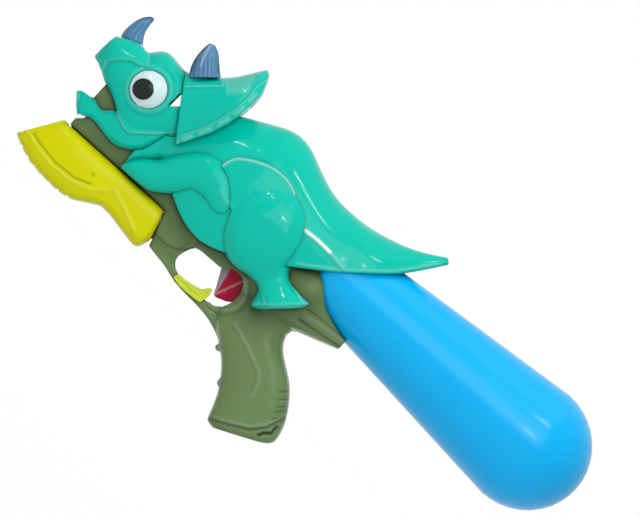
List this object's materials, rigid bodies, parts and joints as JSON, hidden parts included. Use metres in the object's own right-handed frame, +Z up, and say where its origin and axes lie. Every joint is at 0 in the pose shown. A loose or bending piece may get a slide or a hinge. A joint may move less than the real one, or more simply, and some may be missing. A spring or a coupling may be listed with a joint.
{
  "type": "toy water squirter",
  "caption": "Pump-up toy water squirter: a horned dinosaur lies along the barrel of a pistol-grip body, with a sliding fore-end and a screw-on bottle as its tail.",
  "frame": {"origin": "centre of the overall box, at the height of the lowest point of the grip's foot", "axes": "+X from the muzzle towards the bottle's round end, +Y to the right side, +Z up"},
  "size_m": [0.4447, 0.0892, 0.2059],
  "materials": {
    "olive_plastic": "smooth moulded plastic, low gloss",
    "lime_plastic": "smooth moulded plastic",
    "teal_plastic": "smooth moulded plastic, glossy",
    "horn_plastic": "smooth moulded plastic",
    "eye_white": "smooth plastic",
    "eye_black": "printed black",
    "yellow_plastic": "smooth moulded plastic",
    "red_plastic": "smooth moulded plastic",
    "blue_plastic": "blown plastic, soft gloss",
    "steel": "plain",
    "soft_tube": "milky soft plastic",
    "grey_plastic": "plain moulded plastic",
    "white_plastic": "plain moulded plastic",
    "dark_plastic": "plain moulded plastic",
    "seal_rubber": "plain"
  },
  "bodies": {
    "gun": {"gun_shell_left": "olive_plastic", "gun_shell_right": "olive_plastic", "guard_clip": "lime_plastic", "dino_body_left": "teal_plastic", "dino_body_right": "teal_plastic", "dino_head_left": "teal_plastic", "dino_head_right": "teal_plastic", "dino_frill_left": "teal_plastic", "dino_frill_right": "teal_plastic", "dino_arm_left": "teal_plastic", "dino_arm_right": "teal_plastic", "dino_leg_left": "teal_plastic", "dino_leg_right": "teal_plastic", "nose_horn": "horn_plastic", "brow_horn_left": "horn_plastic", "brow_horn_right": "horn_plastic", "eye_left": "eye_white", "eye_right": "eye_white", "pupil_left": "eye_black", "pupil_right": "eye_black", "nozzle": "yellow_plastic", "gun_body_screws": "steel", "dino_screws": "steel", "valve_spring": "steel", "trigger_pin": "steel", "water_tube": "soft_tube", "pickup_tube": "soft_tube", "air_hose": "soft_tube", "valve_body": "grey_plastic", "valve_cap": "grey_plastic", "bottle_socket": "grey_plastic", "check_valve": "grey_plastic", "pump_cylinder": "white_plastic", "cylinder_gland": "dark_plastic"},
    "pump": {"pump_grip_left": "yellow_plastic", "pump_grip_right": "yellow_plastic", "piston_rod": "steel", "piston": "dark_plastic", "piston_ring": "seal_rubber", "pump_screws": "steel"},
    "trigger": {"trigger": "red_plastic"},
    "valve": {"valve_stem": "steel", "stem_seal": "seal_rubber"},
    "bottle_seal": {"neck_seal": "seal_rubber"},
    "bottle": {"tank": "blue_plastic"}
  },
  "joints": [
    {"name": "pump_slide", "type": "slide", "parent": "gun", "child": "pump", "axis": [-1, 0, 0], "range_m": [0, 0.065]},
    {"name": "trigger_pull", "type": "hinge", "parent": "gun", "child": "trigger", "pos_m": [-0.055, 0, 0.099], "axis": [0, -1, 0], "range_deg": [0, 14]},
    {"name": "valve_slide", "type": "slide", "parent": "gun", "child": "valve", "axis": [0, 0, 1], "range_m": [0, 0.0047], "stiffness_N_per_m": 10, "springref_m": -0.003, "deforming": ["valve_spring"]},
    {"name": "bottle_pull", "type": "slide", "parent": "gun", "child": "bottle_seal", "axis": [1, 0, 0], "range_m": [0, 0.08]},
    {"name": "bottle_turn", "type": "hinge", "parent": "bottle_seal", "child": "bottle", "pos_m": [-0.016, 0, 0.1342], "axis": [1, 0, 0], "range_deg": [0, 90]}
  ],
  "couplings": [
    {"joint": "trigger_pull", "follows": "valve_slide", "rad_per_m": 51.98}
  ]
}
